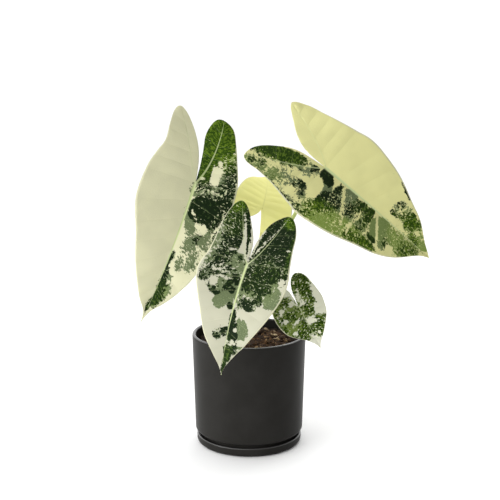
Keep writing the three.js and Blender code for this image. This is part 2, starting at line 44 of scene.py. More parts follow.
# ---------------------------------------------------------------- blades
# Outlines of the two halves on the flat blade, as (along, out) from the stalk's end: along the
# midrib towards the tip, and out from it. Angles are in degrees.
BLADES = {
    "left": dict(
        attach=(-71, 18, 350), heading=-32, droop=59, roll=38, length=197.5, bend=29,
        lobe_bend=5, fold=(13.5, 13.5), sweep=-7, lobe_shift=-20, wave=1.6, quilt=0.9,
        halves=(
            dict(front=[(197.5, 0), (181, 5), (162, 19), (124, 39), (87, 54), (45, 70), (4, 69)],
                 lobe=[(-20, 62), (-40, 53), (-64, 49), (-84, 42), (-94, 32)],
                 sinus=[(-86, 21), (-63, 10), (-38, 3.5), (0, 0)]),
            dict(front=[(197.5, 0), (181, 5), (161, 20), (140, 32), (116, 42), (60, 56), (0, 57)],
                 lobe=[(-40, 50), (-64, 46.5), (-84, 43), (-93, 31)],
                 sinus=[(-90, 18), (-69, 4.5), (-40, 1.5), (0, 0)]),
        ),
    ),
    "right": dict(
        attach=(98, -15, 375), heading=76, droop=38, roll=-51, length=184.5, bend=25.5,
        lobe_bend=6, fold=(12, 9), sweep=9.5, lobe_shift=-5, wave=1.6, quilt=0.9,
        halves=(
            dict(front=[(184.5, 0), (169, 10), (144, 36), (120, 51.5), (92, 62.5), (55, 77.5),
                        (14, 84), (-5, 80)],
                 lobe=[(-32, 73), (-58, 70), (-78, 68), (-87, 59)],
                 sinus=[(-84, 40), (-68, 22), (-42, 6), (0, 0)]),
            dict(front=[(184.5, 0), (166, 12), (141, 30), (112, 42), (72, 60), (28, 70), (0, 66)],
                 lobe=[(-24, 61), (-48, 57), (-70, 54), (-88, 44)],
                 sinus=[(-68, 22.5), (-50, 9), (-30, 1.8), (0, 0)]),
        ),
    ),
    "front": dict(
        attach=(-2, -78, 262), heading=-32.5, droop=52, roll=10, length=143, bend=24,
        lobe_bend=5, fold=(8, 9.5), sweep=5, lobe_shift=-4, wave=1.2, quilt=0.9,
        halves=(
            dict(front=[(143, 0), (133, 4), (116, 17), (97, 31), (66, 44), (33, 58), (16, 60.5),
                        (-4, 55)],
                 lobe=[(-24, 52.5), (-44, 50.5), (-63, 46), (-77, 40), (-83, 32)],
                 sinus=[(-76, 22.5), (-57, 12.5), (-30, 2), (0, 0)]),
            dict(front=[(143, 0), (132, 4), (115, 16), (100, 29), (69, 50), (36, 63.5), (14, 64.5),
                        (-2, 61)],
                 lobe=[(-24, 58), (-45, 55.5), (-63, 49), (-72, 39)],
                 sinus=[(-66, 24), (-54, 12), (-30, 2), (0, 0)]),
        ),
    ),
    "small": dict(
        attach=(65, -45, 197), heading=51, droop=53, roll=-41, length=60, bend=24,
        lobe_bend=5, fold=(5.5, 11), sweep=2.5, lobe_shift=1, wave=0.8, quilt=0.6,
        halves=(
            dict(front=[(60, 0), (53, 3), (43, 11), (35, 21), (26, 31), (14, 36), (0, 37)],
                 lobe=[(-14, 34), (-27, 28), (-34, 18)],
                 sinus=[(-28, 4.5), (-14, 1.2), (0, 0)]),
            dict(front=[(60, 0), (54, 3), (40, 15), (22, 28), (8, 32), (-2, 33)],
                 lobe=[(-20, 30), (-35, 25), (-42, 16)],
                 sinus=[(-38, 7), (-24, 1.5), (0, 0)]),
        ),
    ),
    "back": dict(
        attach=(19, 68, 309.5), heading=168, droop=-32, roll=-25.5, length=101, bend=35,
        lobe_bend=-35, fold=(0.5, 0.5), sweep=0, lobe_shift=0, wave=1.2, quilt=0.7,
        halves=(
            dict(front=[(101, 0), (94, 2.5), (80, 12), (50, 31), (25, 39), (0, 42)],
                 lobe=[(-21, 40), (-44, 35), (-60, 24), (-66, 11)],
                 sinus=[(-58, 3.5), (-30, 1.5), (0, 0)]),
            dict(front=[(101, 0), (94, 2.5), (80, 12), (50, 31), (25, 39), (0, 42)],
                 lobe=[(-18, 41), (-30, 37), (-39, 31), (-41, 23)],
                 sinus=[(-29, 13), (-15, 4), (0, 0)]),
        ),
    ),
}

# Marbling, painted as ellipses on the flat blade: (along, out, radius along, radius out), with out
# negative on the first half, and then a turn where there is one. dark and grey are the green
# tones, light goes over them in cream. mottle, olive and streak are soft and end with an amount:
# how broken up the tones are, how yellow the greens are, how far they are drawn out in streaks.
MARKS = {
    "left": dict(
        dark=[(-64, 24, 34, 22), (-25, 9, 36, 9), (-22, 45, 28, 9), (4, 43, 16, 12), (0, 13, 7, 11),
            (32, 22, 19, 21), (40, 38, 15, 14), (24, 49, 20, 8), (50, 50, 14, 6),
            (105, 2.5, 7, 2.2), (117, 2.5, 4, 1.8), (126, 3.5, 8, 3), (138, 4.5, 9, 4.5),
            (149, 6, 9, 6.5), (157, 9, 7, 5), (164, 4, 9, 5.5), (173, 0, 7, 3), (72, 26, 4, 3)],
        grey=[(5, 14, 7, 14), (13, 8, 6, 11), (56, 11, 23, 7, 27), (70, 37, 14, 10),
            (88, 22, 5, 12), (94, 30, 8, 6), (106, 30, 9, 8), (109, 16, 9, 6), (80, 20, 10, 9),
            (-14, 40, 16, 10), (40, 48, 30, 10), (130, 9, 6, 5), (146, 13, 9, 6)],
        light=[(-18, 26, 10, 5), (-8, 24, 6, 6), (-8, 7, 2, 4), (-26, 30, 6, 2, 20),
            (-33, 28, 5, 3.5), (58, 29, 7, 6, 30), (44, 13, 11, 1.4, 40), (52, 46, 12, 1.2, -10)],
        mottle=[(-22, 40, 32, 16, 0.85), (5, 24, 11, 32, 1.0), (88, 28, 38, 24, 0.6),
            (50, 48, 40, 12, 0.9), (140, 10, 40, 12, 0.3), (-62, 25, 36, 22, 0.12),
            (33, 22, 16, 18, 0.35)],
        olive=[(-64, 25, 40, 34, 1.0), (-30, 10, 26, 12, 0.8), (160, 4, 24, 16, 0.4)],
        streak=[(-15, 20, 30, 20, 0.5), (88, 28, 40, 24, 0.85), (-64, 24, 30, 20, 0.7)],
    ),
    "right": dict(
        dark=[(-56, -27, 36, 11, 26), (-66, -40, 12, 3, 10), (-40, -34, 9, 2.5, 20),
            (-8, -46, 7, 6), (-1, -55, 4, 5), (-14, -51, 3, 3), (-8, -13, 6, 6), (8, -8, 9, 9),
            (15, -14, 7, 7), (30, -41, 13, 17), (24, -53, 8, 11), (32, -20, 5, 15),
            (40, -33, 6, 10), (17, -66, 7, 13), (8, -76, 5, 4), (59, -27, 8, 11), (69, -12, 11, 9),
            (82, -10, 5, 10), (83, -30, 5, 28), (78, -58, 7, 11), (97, -53, 17, 8, 12),
            (103, -39, 7, 3.5), (122, -31, 4, 4), (143, -26, 5, 4), (150, -17, 8, 11, 35),
            (159, -10, 7, 7, 30), (-64, -54, 2.5, 6), (-76, -60, 4, 4), (-30, -73, 32, 1.4, -6),
            (2, -79, 20, 1.8), (132, 18, 9, 10), (128, 25, 7, 5), (140, 23, 5, 6), (145, 7, 4, 4),
            (151, 4, 6, 3.5), (103, 22, 2.5, 4.5), (109, 14, 5, 2.5), (116, 19, 6, 3),
            (106, 31, 2.5, 2.5), (100, 46, 9, 1.8, -22)],
        grey=[(-44, -60, 11, 11), (-34, -54, 7, 11), (-20, -50, 7, 8), (-62, -62, 9, 7),
            (-77, -62, 8, 8), (-26, -24, 12, 6, 22), (19, -26, 8, 9), (40, -70, 28, 12),
            (54, -52, 26, 24), (48, -13, 14, 14), (65, -35, 18, 26), (106, -20, 18, 21),
            (120, -22, 12, 20), (133, -18, 12, 18), (150, -15, 16, 14, 35), (-14, -22, 8, 8),
            (120, 24, 9, 9), (148, 13, 9, 9), (163, 6, 14, 8)],
        light=[(70, -50, 2.5, 15, 5), (72, -28, 3, 7), (130, -34, 7, 7), (148, 14, 3.5, 4),
            (112, 21, 3, 3), (8, -34, 8, 15), (-14, -62, 7, 6), (45, -24, 34, 2.6, -63),
            (101, -21, 30, 2.0, -59)],
        mottle=[(58, -42, 38, 36, 0.9), (-42, -55, 42, 22, 0.75), (142, -18, 36, 25, 0.9),
            (113, 22, 14, 14, 0.9), (148, 10, 20, 14, 0.8), (8, -68, 26, 16, 0.95),
            (-15, -20, 16, 14, 0.7), (95, -53, 22, 12, 0.5), (134, 20, 12, 12, 0.4)],
        olive=[(80, -62, 66, 22, 1.0), (150, 0, 44, 40, 0.9), (-55, -27, 38, 16, 26, 0.75),
            (40, -66, 34, 24, 1.0), (100, -15, 40, 28, 0.5), (-60, -60, 30, 14, 0.5)],
        streak=[(70, -35, 50, 40, 0.5), (135, -20, 40, 30, 0.7), (8, -68, 26, 16, 0.6)],
    ),
    "front": dict(
        dark=[(-72, -34, 12, 12), (-55, -34, 22, 14), (-25, -30, 26, 13), (-2, -33, 14, 11),
            (-64, -22, 10, 5), (-34, -10, 25, 2.6, 14), (-52, 32, 21, 21), (-45, 17, 20, 6, -22),
            (-22, 10, 14, 5, -24), (-30, 32, 25, 25), (-42, 48, 24, 9), (-12, 20, 14, 14),
            (-12, 46, 14, 12), (-8, 58, 16, 4), (8, 16, 12, 13), (16, 6, 16, 5), (10, 34, 14, 16),
            (25, 14, 12, 11), (27, 28, 12, 12), (12, 54, 8, 8), (30, 38, 8, 8), (52, 17, 6.5, 10),
            (45, 31, 6, 7, -25), (57, 24, 3, 6), (58, -5, 4, 4), (75, 3, 13, 4), (88, 5.5, 12, 6.5),
            (94, 10, 6, 5.5), (110, 8, 6, 9.5), (116, 4.5, 9, 5), (127, 2.4, 10, 2.4),
            (137, 1, 8, 1.5), (97, -14, 3.5, 4.5), (93, -8, 3.2, 4.5), (87, -5, 3, 4),
            (21, -38, 2.4, 12), (26, -46, 2.2, 6, 15), (31, -50, 2, 5), (40, -32, 3.6, 6),
            (45, -27, 3.2, 5), (36, -17, 5, 4), (29, -14, 4, 5), (38, -8, 4, 4), (27, -5, 4, 3),
            (12, -46, 3, 6), (-4, -12, 4, 4), (12, -20, 3, 6), (20, -9, 3, 4)],
        grey=[(-20, -48, 22, 6), (5, -48, 12, 6), (3, -16, 14, 16), (42, -17, 20, 12),
            (30, -20, 10, 16), (34, 6, 24, 6), (30, -6, 30, 6), (55, -20, 9, 9), (28, -14, 12, 10),
            (40, 50, 14, 13), (38, 18, 6, 14), (20, 46, 12, 8), (-24, 50, 8, 7),
            (84, 18, 13, 10.5, 30), (93, 20, 8, 7), (76, 13, 6, 4), (10, -32, 10, 12),
            (-45, -16, 20, 4, 17), (104, 18, 4, 6)],
        light=[(32, -34, 6, 6), (16, -36, 2.2, 12), (24, -24, 2, 10), (86, 10.5, 3.2, 3.2),
            (102, 10, 3.2, 8), (100, 21, 4, 9), (18, 57, 4, 5), (-24, 52, 1.5, 3),
            (-34, -14, 30, 1.9, 16), (-16, -3.4, 17, 1.5, 12), (-16, 2.5, 16, 1.2, -9),
            (-18, 7.5, 14, 0.7, -26), (-32, 17, 16, 0.5, -30), (-14, -25, 2.2, 5, 20),
            (11, -20, 1.0, 16, -5)],
        mottle=[(-36, -38, 46, 18, 0.8), (6, -32, 18, 26, 0.8), (26, -36, 20, 22, 0.6),
            (8, 28, 34, 34, 0.7), (-35, 35, 42, 28, 0.4), (30, 52, 16, 14, 0.5),
            (105, 12, 9, 10, 0.5), (93, -10, 9, 9, 0.6), (48, 20, 10, 20, 0.5)],
        olive=[(-76, -36, 12, 12, 1.0), (-56, -34, 24, 14, 0.35), (-64, 43, 10, 10, 1.0),
            (120, 4, 24, 8, 0.35), (-30, 57, 40, 5, 0.4), (20, 30, 30, 24, 0.15)],
        streak=[(-40, -30, 45, 25, 0.5), (0, 30, 40, 34, 0.5), (25, -30, 35, 28, 0.4),
            (-45, 35, 40, 30, 0.5)],
    ),
    "small": dict(
        dark=[(-30, 10, 11, 8), (-28, 18, 12, 8), (-12, 19, 11, 7), (-3, 18, 6, 4), (2, 7, 2.5, 7),
            (10, 9, 5, 7), (33, 8, 8, 8), (28, 15, 8, 8), (26, 22, 4, 4), (38, 12, 6, 5),
            (5, 22, 1.8, 1.8), (7, -17, 6, 7), (2, -31, 8, 4), (14, -32, 7, 3), (-14, -15, 6, 6),
            (30, -7, 8, 6), (33, -18, 6, 8), (20, -5, 6, 3), (36, -12, 6, 6)],
        grey=[(-10, 12, 18, 12), (10, 10, 9, 13), (0, -18, 20, 18), (22, -20, 15, 15),
            (10, -8, 14, 8), (30, 12, 10, 12)],
        light=[(22, 6, 4, 7), (-2, 29, 20, 6), (12, 24, 8, 9), (-12, 5, 9, 3, -14), (-3, 6, 3, 5),
            (-5, -24, 2.5, 6, 30), (9, -25, 2.5, 6, -20), (16, -12, 2, 7, 20), (-8, -8, 3, 4),
            (40, 7, 2.2, 2.2), (4, 30, 16, 5), (28, -22, 2, 4)],
        mottle=[(5, 0, 50, 45, 0.85)],
        olive=[(0, 0, 60, 50, 0.8), (20, -20, 16, 16, 1.0)],
        streak=[(0, 0, 40, 40, 0.5)],
    ),
    "back": {},
}

# Colours of the unpigmented blade tissue, one for each blade, partly painted light: the yellow
# creams of the right and back blades stand in for light shining through them from behind, and the
# beige of the left blade stands in for shade
CREAM = {
    "left": (0.63, 0.62, 0.42),
    "right": (0.665, 0.65, 0.305),
    "front": (0.50, 0.495, 0.38),
    "small": (0.84, 0.84, 0.70),
    "back": (0.90, 0.875, 0.345),
}

# Greens of the marbling, each as it is and where it turns olive
GREENS = {
    "dark": ((0.0045, 0.0125, 0.0020), (0.020, 0.050, 0.0010)),
    "mid": ((0.040, 0.070, 0.018), (0.105, 0.175, 0.012)),
    "grey": ((0.122, 0.156, 0.074), (0.190, 0.265, 0.055)),
    "pale": ((0.310, 0.370, 0.185), (0.440, 0.520, 0.170)),
}

# A lateral vein runs out at every second row, over the front of a half and then over its lobe
FRONT_ROWS = 16
LOBE_ROWS = 10
ALL_ROWS = FRONT_ROWS + LOBE_ROWS
# Points from the rib out to the margin, and to the edge of the cleft between the lobes
COLUMNS = 34
SINUS_COLUMNS = 14
LATERAL_SLANT = 0.25
LOBE_RIB_BOW = 0.75
WAVES_PER_HALF = 2.6
WAVE_OFFSET = 0.35
SINUS_QUILT = 0.35
# Ribs are sized for a midrib of this length
USUAL_LENGTH = 160
# Half the sheet's thickness, and how far its margin, the main rib and the laterals change that
HALF_THICKNESS = 0.42
MARGIN_THINNING = 0.2
RIB_ABOVE = 0.18
RIB_BELOW = 1.05
LATERAL_BELOW = 0.42
OUTSIDE_DEPTH = -12.0
# The ellipses' kinds, and the fields that the material reads
TONES = ("dark", "grey", "light")
SOFT = ("mottle", "olive", "streak")
READ_FIELDS = ("flat", "vein", "tone", "look", "margin")


def unit(vector):
    vector = np.asarray(vector, float)
    return vector / np.linalg.norm(vector)


def arc_reach(curvature, length):
    """How far an arc goes forward and sideways over a length."""
    k = np.where(np.abs(curvature) < 1e-9, 1e-9, curvature)
    return np.sin(k * length) / k, (1 - np.cos(k * length)) / k


def blade_frame(blade):
    """Axis towards the tip, side towards the second half, face out of the upper face."""
    heading, droop, roll = (radians(blade[key]) for key in ("heading", "droop", "roll"))
    level = np.array([sin(heading), -cos(heading), 0.0])
    axis = level * cos(droop) - np.array([0, 0, sin(droop)])
    level_side = unit(np.cross([0, 0, 1.0], level))
    face = np.cross(axis, level_side) * cos(roll) + level_side * sin(roll)
    return axis, np.cross(face, axis), face


def on_blade(blade, along, out, sign, lift):
    """Flat points carried onto the bent and folded blade. sign is -1 or 1 for the half."""
    axis, side, face = blade_frame(blade)
    along, out, sign, lift = (
        np.asarray(v, float)[..., None] for v in np.broadcast_arrays(along, out, sign, lift)
    )
    length = blade["length"]
    bend = np.where(along >= 0, radians(blade["bend"]), radians(blade["lobe_bend"])) / length
    forward, down = arc_reach(bend, along)
    across = arc_reach(radians(blade["sweep"]) / length, np.maximum(along, 0))[1]
    lobe = np.clip(-along / (0.5 * length), 0, 1.5)
    point = np.array(blade["attach"], float) + axis * forward - face * down
    point = point + side * (across + blade["lobe_shift"] * lobe**2)
    local = face * np.cos(bend * along) + axis * np.sin(bend * along)
    fold = np.where(sign < 0, radians(blade["fold"][0]), radians(blade["fold"][1]))
    point = point + side * sign * (out * np.cos(fold) - lift * np.sin(fold))
    return point + local * (out * np.sin(fold) + lift * np.cos(fold))


def spline(knots, t):
    """Points of a Catmull-Rom spline through the knots, at parameters from 0 to 1."""
    knots = np.asarray(knots, float)
    last = len(knots) - 1
    place = np.clip(t, 0, 1) * last
    i = np.minimum(np.floor(place).astype(int), last - 1)
    w = (place - i)[:, None]
    p0, p1, p2 = knots[np.maximum(i - 1, 0)], knots[i], knots[i + 1]
    p3 = knots[np.minimum(i + 2, last)]
    v0, v1 = (p2 - p0) / 2, (p3 - p1) / 2
    cubic = (2 * p1 - 2 * p2 + v0 + v1) * w**3 + (-3 * p1 + 3 * p2 - 2 * v0 - v1) * w**2
    return cubic + v0 * w + p1


def lengths_along(path):
    """The length of a path up to each of its points."""
    return np.concatenate([[0], np.cumsum(np.linalg.norm(np.diff(path, axis=0), axis=1))])


def points_at(path, wanted):
    """Points at the wanted lengths along a path."""
    lengths = lengths_along(path)
    return np.stack([np.interp(wanted, lengths, column) for column in path.T], 1)


def spaced(knots, start, end, shares):
    """Points at shares of the length of a spline between two of its parameters."""
    fine = spline(knots, np.linspace(start, end, 1500))
    return points_at(fine, np.asarray(shares) * lengths_along(fine)[-1])


def row_places(first, last):
    """Row numbers from first to last, close together at the veins, which are the even rows."""
    period = np.array([0, 0.04, 0.09, 0.16, 0.28, 0.45, 0.7, 1, 1.3, 1.55, 1.72, 1.84, 1.91, 1.96])
    rows = [period + start for start in range(first, last, 2)]
    return np.concatenate([*rows, [last]])


def strip_of(spine, rim, rows, shares, inner=False):
    """Flat points between a spine and a rim, with their row, share and distance from the spine."""
    flat = spine[:, None, :] + (rim - spine)[:, None, :] * shares[None, :, None]
    row, share = np.meshgrid(rows, shares, indexing="ij")
    from_rib = share * np.linalg.norm(rim - spine, axis=1)[:, None]
    return flat[..., 0], flat[..., 1], row, share, from_rib, inner


def half_strips(blade, half):
    """The three strips of a half: midrib to front margin, lobe rib to lobe margin and to sinus."""
    outline = blade["halves"][half]
    knots = outline["front"] + outline["lobe"] + outline["sinus"]
    shoulder = (len(outline["front"]) - 1) / (len(knots) - 1)
    lobe_end = shoulder + len(outline["lobe"]) / (len(knots) - 1)
    front = row_places(0, FRONT_ROWS)
    share = front / FRONT_ROWS
    midrib = np.stack([blade["length"] * (1 - share), 0 * share], 1)
    rim = spaced(knots, 0, shoulder, share * (1 - LATERAL_SLANT * np.sqrt(1 - share)))
    lobe = row_places(FRONT_ROWS, ALL_ROWS)
    lobe_share = (lobe - FRONT_ROWS) / LOBE_ROWS
    lobe_rim = spaced(knots, shoulder, lobe_end, lobe_share)
    sinus_rim = spaced(knots, lobe_end, 1, 1 - lobe_share)
    tip = lobe_rim[-1]
    rib = np.stack([tip[0] * lobe_share, tip[1] * lobe_share**LOBE_RIB_BOW], 1)
    outer = np.linspace(0, 1, COLUMNS) ** 1.35
    return [
        strip_of(midrib, rim, front, outer),
        strip_of(rib, lobe_rim, lobe, outer),
        strip_of(rib, sinus_rim, lobe, np.linspace(0, 1, SINUS_COLUMNS), inner=True),
    ]


def ellipse_reach(along, out, centre_along, centre_out, long, wide, turn=0):
    """Distance from the centre of an ellipse, as a share of its radius that way."""
    c, s = cos(radians(turn)), sin(radians(turn))
    x, y = along - centre_along, out - centre_out
    return np.hypot((x * c + y * s) / long, (y * c - x * s) / wide)


def ellipse_depth(ellipses, along, out):
    """Depth in mm inside the ellipses, negative outside."""
    depth = np.full(along.shape, OUTSIDE_DEPTH)
    for ellipse in ellipses:
        inside = (1 - ellipse_reach(along, out, *ellipse)) * min(ellipse[2:4])
        depth = np.maximum(depth, inside)
    return depth


def soft_amount(marks, along, out):
    """The largest amount of the soft-edged ellipses at a point."""
    amount = np.zeros(along.shape)
    for *ellipse, most in marks:
        reach = ellipse_reach(along, out, *ellipse)
        amount = np.maximum(amount, most * np.clip((1.25 - reach) / 0.5, 0, 1))
    return amount


def rib_width(row):
    """Half width of the main rib in mm: the midrib up to the shoulder row, then the lobe's rib."""
    midrib = 0.4 + 1.6 * np.clip(row / FRONT_ROWS, 0, 1) ** 1.5
    lobe = 1.4 - 1.1 * np.clip((row - FRONT_ROWS) / LOBE_ROWS, 0, 1) ** 0.7
    return np.where(row <= FRONT_ROWS, midrib, lobe)


def grid_faces(rows, columns, closed=False):
    """Quads of points numbered row by row. closed joins the last column to the first."""
    number = np.arange(rows * columns).reshape(rows, columns)
    if closed:
        number = np.concatenate([number, number[:, :1]], 1)
    corners = number[:-1, :-1], number[:-1, 1:], number[1:, 1:], number[1:, :-1]
    return np.stack(corners, -1).reshape(-1, 4)


def surface_of(name):
    """Points, quads and fields of a blade's middle surface, in mm."""
    blade, marks = BLADES[name], MARKS[name]
    scale = blade["length"] / USUAL_LENGTH
    gap = 2 * blade["length"] / FRONT_ROWS
    points, quads, fields, start = [], [], [], 0
    for half, sign in ((0, -1.0), (1, 1.0)):
        for along, out, row, share, from_rib, inner in half_strips(blade, half):
            vein = np.abs(np.sin(pi * row / 2)) ** 1.2
            edge = np.sin(pi * np.clip(share, 0, 1)) ** 0.7
            quilt = (SINUS_QUILT if inner else 1) * blade["quilt"] * vein * edge
            waves = WAVES_PER_HALF * (row / ALL_ROWS) + WAVE_OFFSET * half
            wave = blade["wave"] * np.sin(2 * pi * waves)
            lift = quilt + (0 if inner else 1) * wave * share**2
            points.append(on_blade(blade, along, np.maximum(out, 0), sign, lift).reshape(-1, 3))
            quad = start + grid_faces(*along.shape)
            quads.append(quad if (sign > 0) != inner else quad[:, ::-1])
            start += along.size

            where = along, out * sign
            depths = [ellipse_depth(marks.get(key, ()), *where) for key in TONES]
            mottle, olive, streak = (soft_amount(marks.get(key, ()), *where) for key in SOFT)
            rib = from_rib / (rib_width(row) * scale)
            from_vein = np.abs((row + 1) % 2 - 1) * gap / 2
            ends = np.clip(row / 3, 0, 1) * np.clip((ALL_ROWS - row) / LOBE_ROWS, 0, 1)
            fields.append(dict(
                flat=np.stack([*where, streak], -1),
                vein=np.stack([row / 2 * gap, from_rib, share], -1),
                tone=np.stack(depths, -1),
                look=np.stack([mottle, olive, rib], -1),
                margin=share * (0 if inner else 1),
                ridge=np.exp(-((from_rib / (1.5 * scale)) ** 2)) * ends,
                side=np.exp(-((from_vein / 0.8) ** 2)) * (1 - share),
            ))
    fields = {
        key: np.concatenate([field[key].reshape(-1, *field[key].shape[2:]) for field in fields])
        for key in fields[0]
    }
    return np.concatenate(points), np.concatenate(quads), fields


def merged(points, faces, near):
    """The points kept when those that coincide are made one, and the faces that are left."""
    key = np.round(points / near).astype(np.int64)
    _, kept, same = np.unique(key, axis=0, return_index=True, return_inverse=True)
    cleaned = []
    for face in same.ravel()[faces].tolist():
        corners = [v for i, v in enumerate(face) if v != face[i - 1]]
        if len(set(corners)) == len(corners) and len(corners) > 2:
            cleaned.append(corners)
    return kept, cleaned


def shell(upper, lower, faces, rim):
    """A closed body from two sheets of points, with walls along the edges of the rim."""
    count = len(upper)
    below = [[v + count for v in reversed(face)] for face in faces]
    walls = [[b, a, a + count, b + count] for a, b in rim]
    return np.concatenate([upper, lower]), faces + below + walls


def mesh_object(name, points, faces, material):
    """A smooth object from points in mm and faces as lists of point numbers."""
    mesh = bpy.data.meshes.new(name)
    mesh.from_pydata((np.asarray(points) * MM).tolist(), [], faces)
    mesh.validate()
    mesh.polygons.foreach_set("use_smooth", np.full(len(mesh.polygons), True))
    mesh.materials.append(material)
    mesh.update()
    thing = bpy.data.objects.new(name, mesh)
    bpy.context.scene.collection.objects.link(thing)
    return thing


def piece(name, node, slot, points, faces, material, **fields):
    """A visible piece in place of a CAD node. Its material reads the fields, by point, by name."""
    thing = mesh_object(name, points, faces, material)
    for key, values in fields.items():
        values = np.asarray(values, np.float32)
        kind, part = ("FLOAT_VECTOR", "vector") if values.ndim == 2 else ("FLOAT", "value")
        attribute = thing.data.attributes.new(key, kind, "POINT")
        attribute.data.foreach_set(part, values.ravel())
    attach(thing, "root")
    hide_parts(node)


# ---------------------------------------------------------------- materials
class Nodes:
    """Short calls for building a material's nodes."""

    def __init__(self, name):
        self.material = bpy.data.materials.new(name)
        self.material.use_nodes = True
        self.tree = self.material.node_tree
        self.tree.nodes.clear()

    def new(self, kind):
        return self.tree.nodes.new(kind)

    def feed(self, socket, value):
        if isinstance(value, bpy.types.NodeSocket):
            self.tree.links.new(value, socket)
        elif isinstance(value, tuple) and len(value) == 3 and socket.type == "RGBA":
            socket.default_value = (*value, 1)
        else:
            socket.default_value = value

    def fill(self, sockets, *values):
        for socket, value in zip(sockets, values):
            self.feed(socket, value)

    def field(self, name, output="Vector"):
        node = self.new("ShaderNodeAttribute")
        node.attribute_name = name
        return node.outputs[output]

    def where(self):
        """The place on the object, in metres."""
        return self.new("ShaderNodeTexCoord").outputs["Object"]

    def split(self, vector):
        node = self.new("ShaderNodeSeparateXYZ")
        self.fill(node.inputs, vector)
        return node.outputs

    def vector(self, x, y, z):
        node = self.new("ShaderNodeCombineXYZ")
        self.fill(node.inputs, x, y, z)
        return node.outputs[0]

    def math(self, operation, *values):
        node = self.new("ShaderNodeMath")
        node.operation = operation
        self.fill(node.inputs, *values)
        return node.outputs[0]

    def times(self, first, second):
        return self.math("MULTIPLY", first, second)

    def scaled(self, value, factor, shift):
        """value times factor, plus shift."""
        return self.math("MULTIPLY_ADD", value, factor, shift)

    def ramp(self, value, low, high, start=0.0, end=1.0):
        """value from low to high carried smoothly onto start to end."""
        node = self.new("ShaderNodeMapRange")
        node.interpolation_type = "SMOOTHSTEP"
        self.fill(node.inputs, value, low, high, start, end)
        return node.outputs[0]

    def step(self, value, low, width, start=0.0, end=1.0):
        """A ramp of the given width from a low that may vary over the surface."""
        return self.ramp(value, low, self.math("ADD", low, width), start, end)

    def mix(self, share, first, second, kind="MIX"):
        """The first colour where share is 0, the second where it is 1."""
        node = self.new("ShaderNodeMix")
        node.data_type = "RGBA"
        node.blend_type = kind
        self.fill([node.inputs[k] for k in (0, 6, 7)], share, first, second)
        return node.outputs[2]

    def mix_value(self, share, first, second):
        node = self.new("ShaderNodeMix")
        node.data_type = "FLOAT"
        self.fill([node.inputs[k] for k in (0, 2, 3)], share, first, second)
        return node.outputs[0]

    def named(self, kind, **values):
        """A node with values or links fed to its inputs by name."""
        node = self.new(kind)
        for key, value in values.items():
            self.feed(node.inputs[key.replace("_", " ")], value)
        return node

    def noise(self, where, scale, detail=2.0, rough=0.5, warp=0.0):
        shape = dict(Scale=scale, Detail=detail, Roughness=rough, Distortion=warp)
        return self.named("ShaderNodeTexNoise", Vector=where, **shape).outputs["Fac"]

    def cell_edges(self, where, scale):
        node = self.named("ShaderNodeTexVoronoi", Vector=where, Scale=scale)
        node.feature = "DISTANCE_TO_EDGE"
        return node.outputs["Distance"]

    def bump(self, height, strength, distance):
        shape = dict(Height=height, Strength=strength, Distance=distance)
        return self.named("ShaderNodeBump", **shape).outputs[0]

    def surface(self, colour, rough, normal, gloss):
        looks = dict(Base_Color=colour, Roughness=rough, Normal=normal, Specular_IOR_Level=gloss)
        return self.named("ShaderNodeBsdfPrincipled", **looks).outputs[0]

    def finish(self, shader):
        self.tree.links.new(shader, self.new("ShaderNodeOutputMaterial").inputs[0])
        return self.material


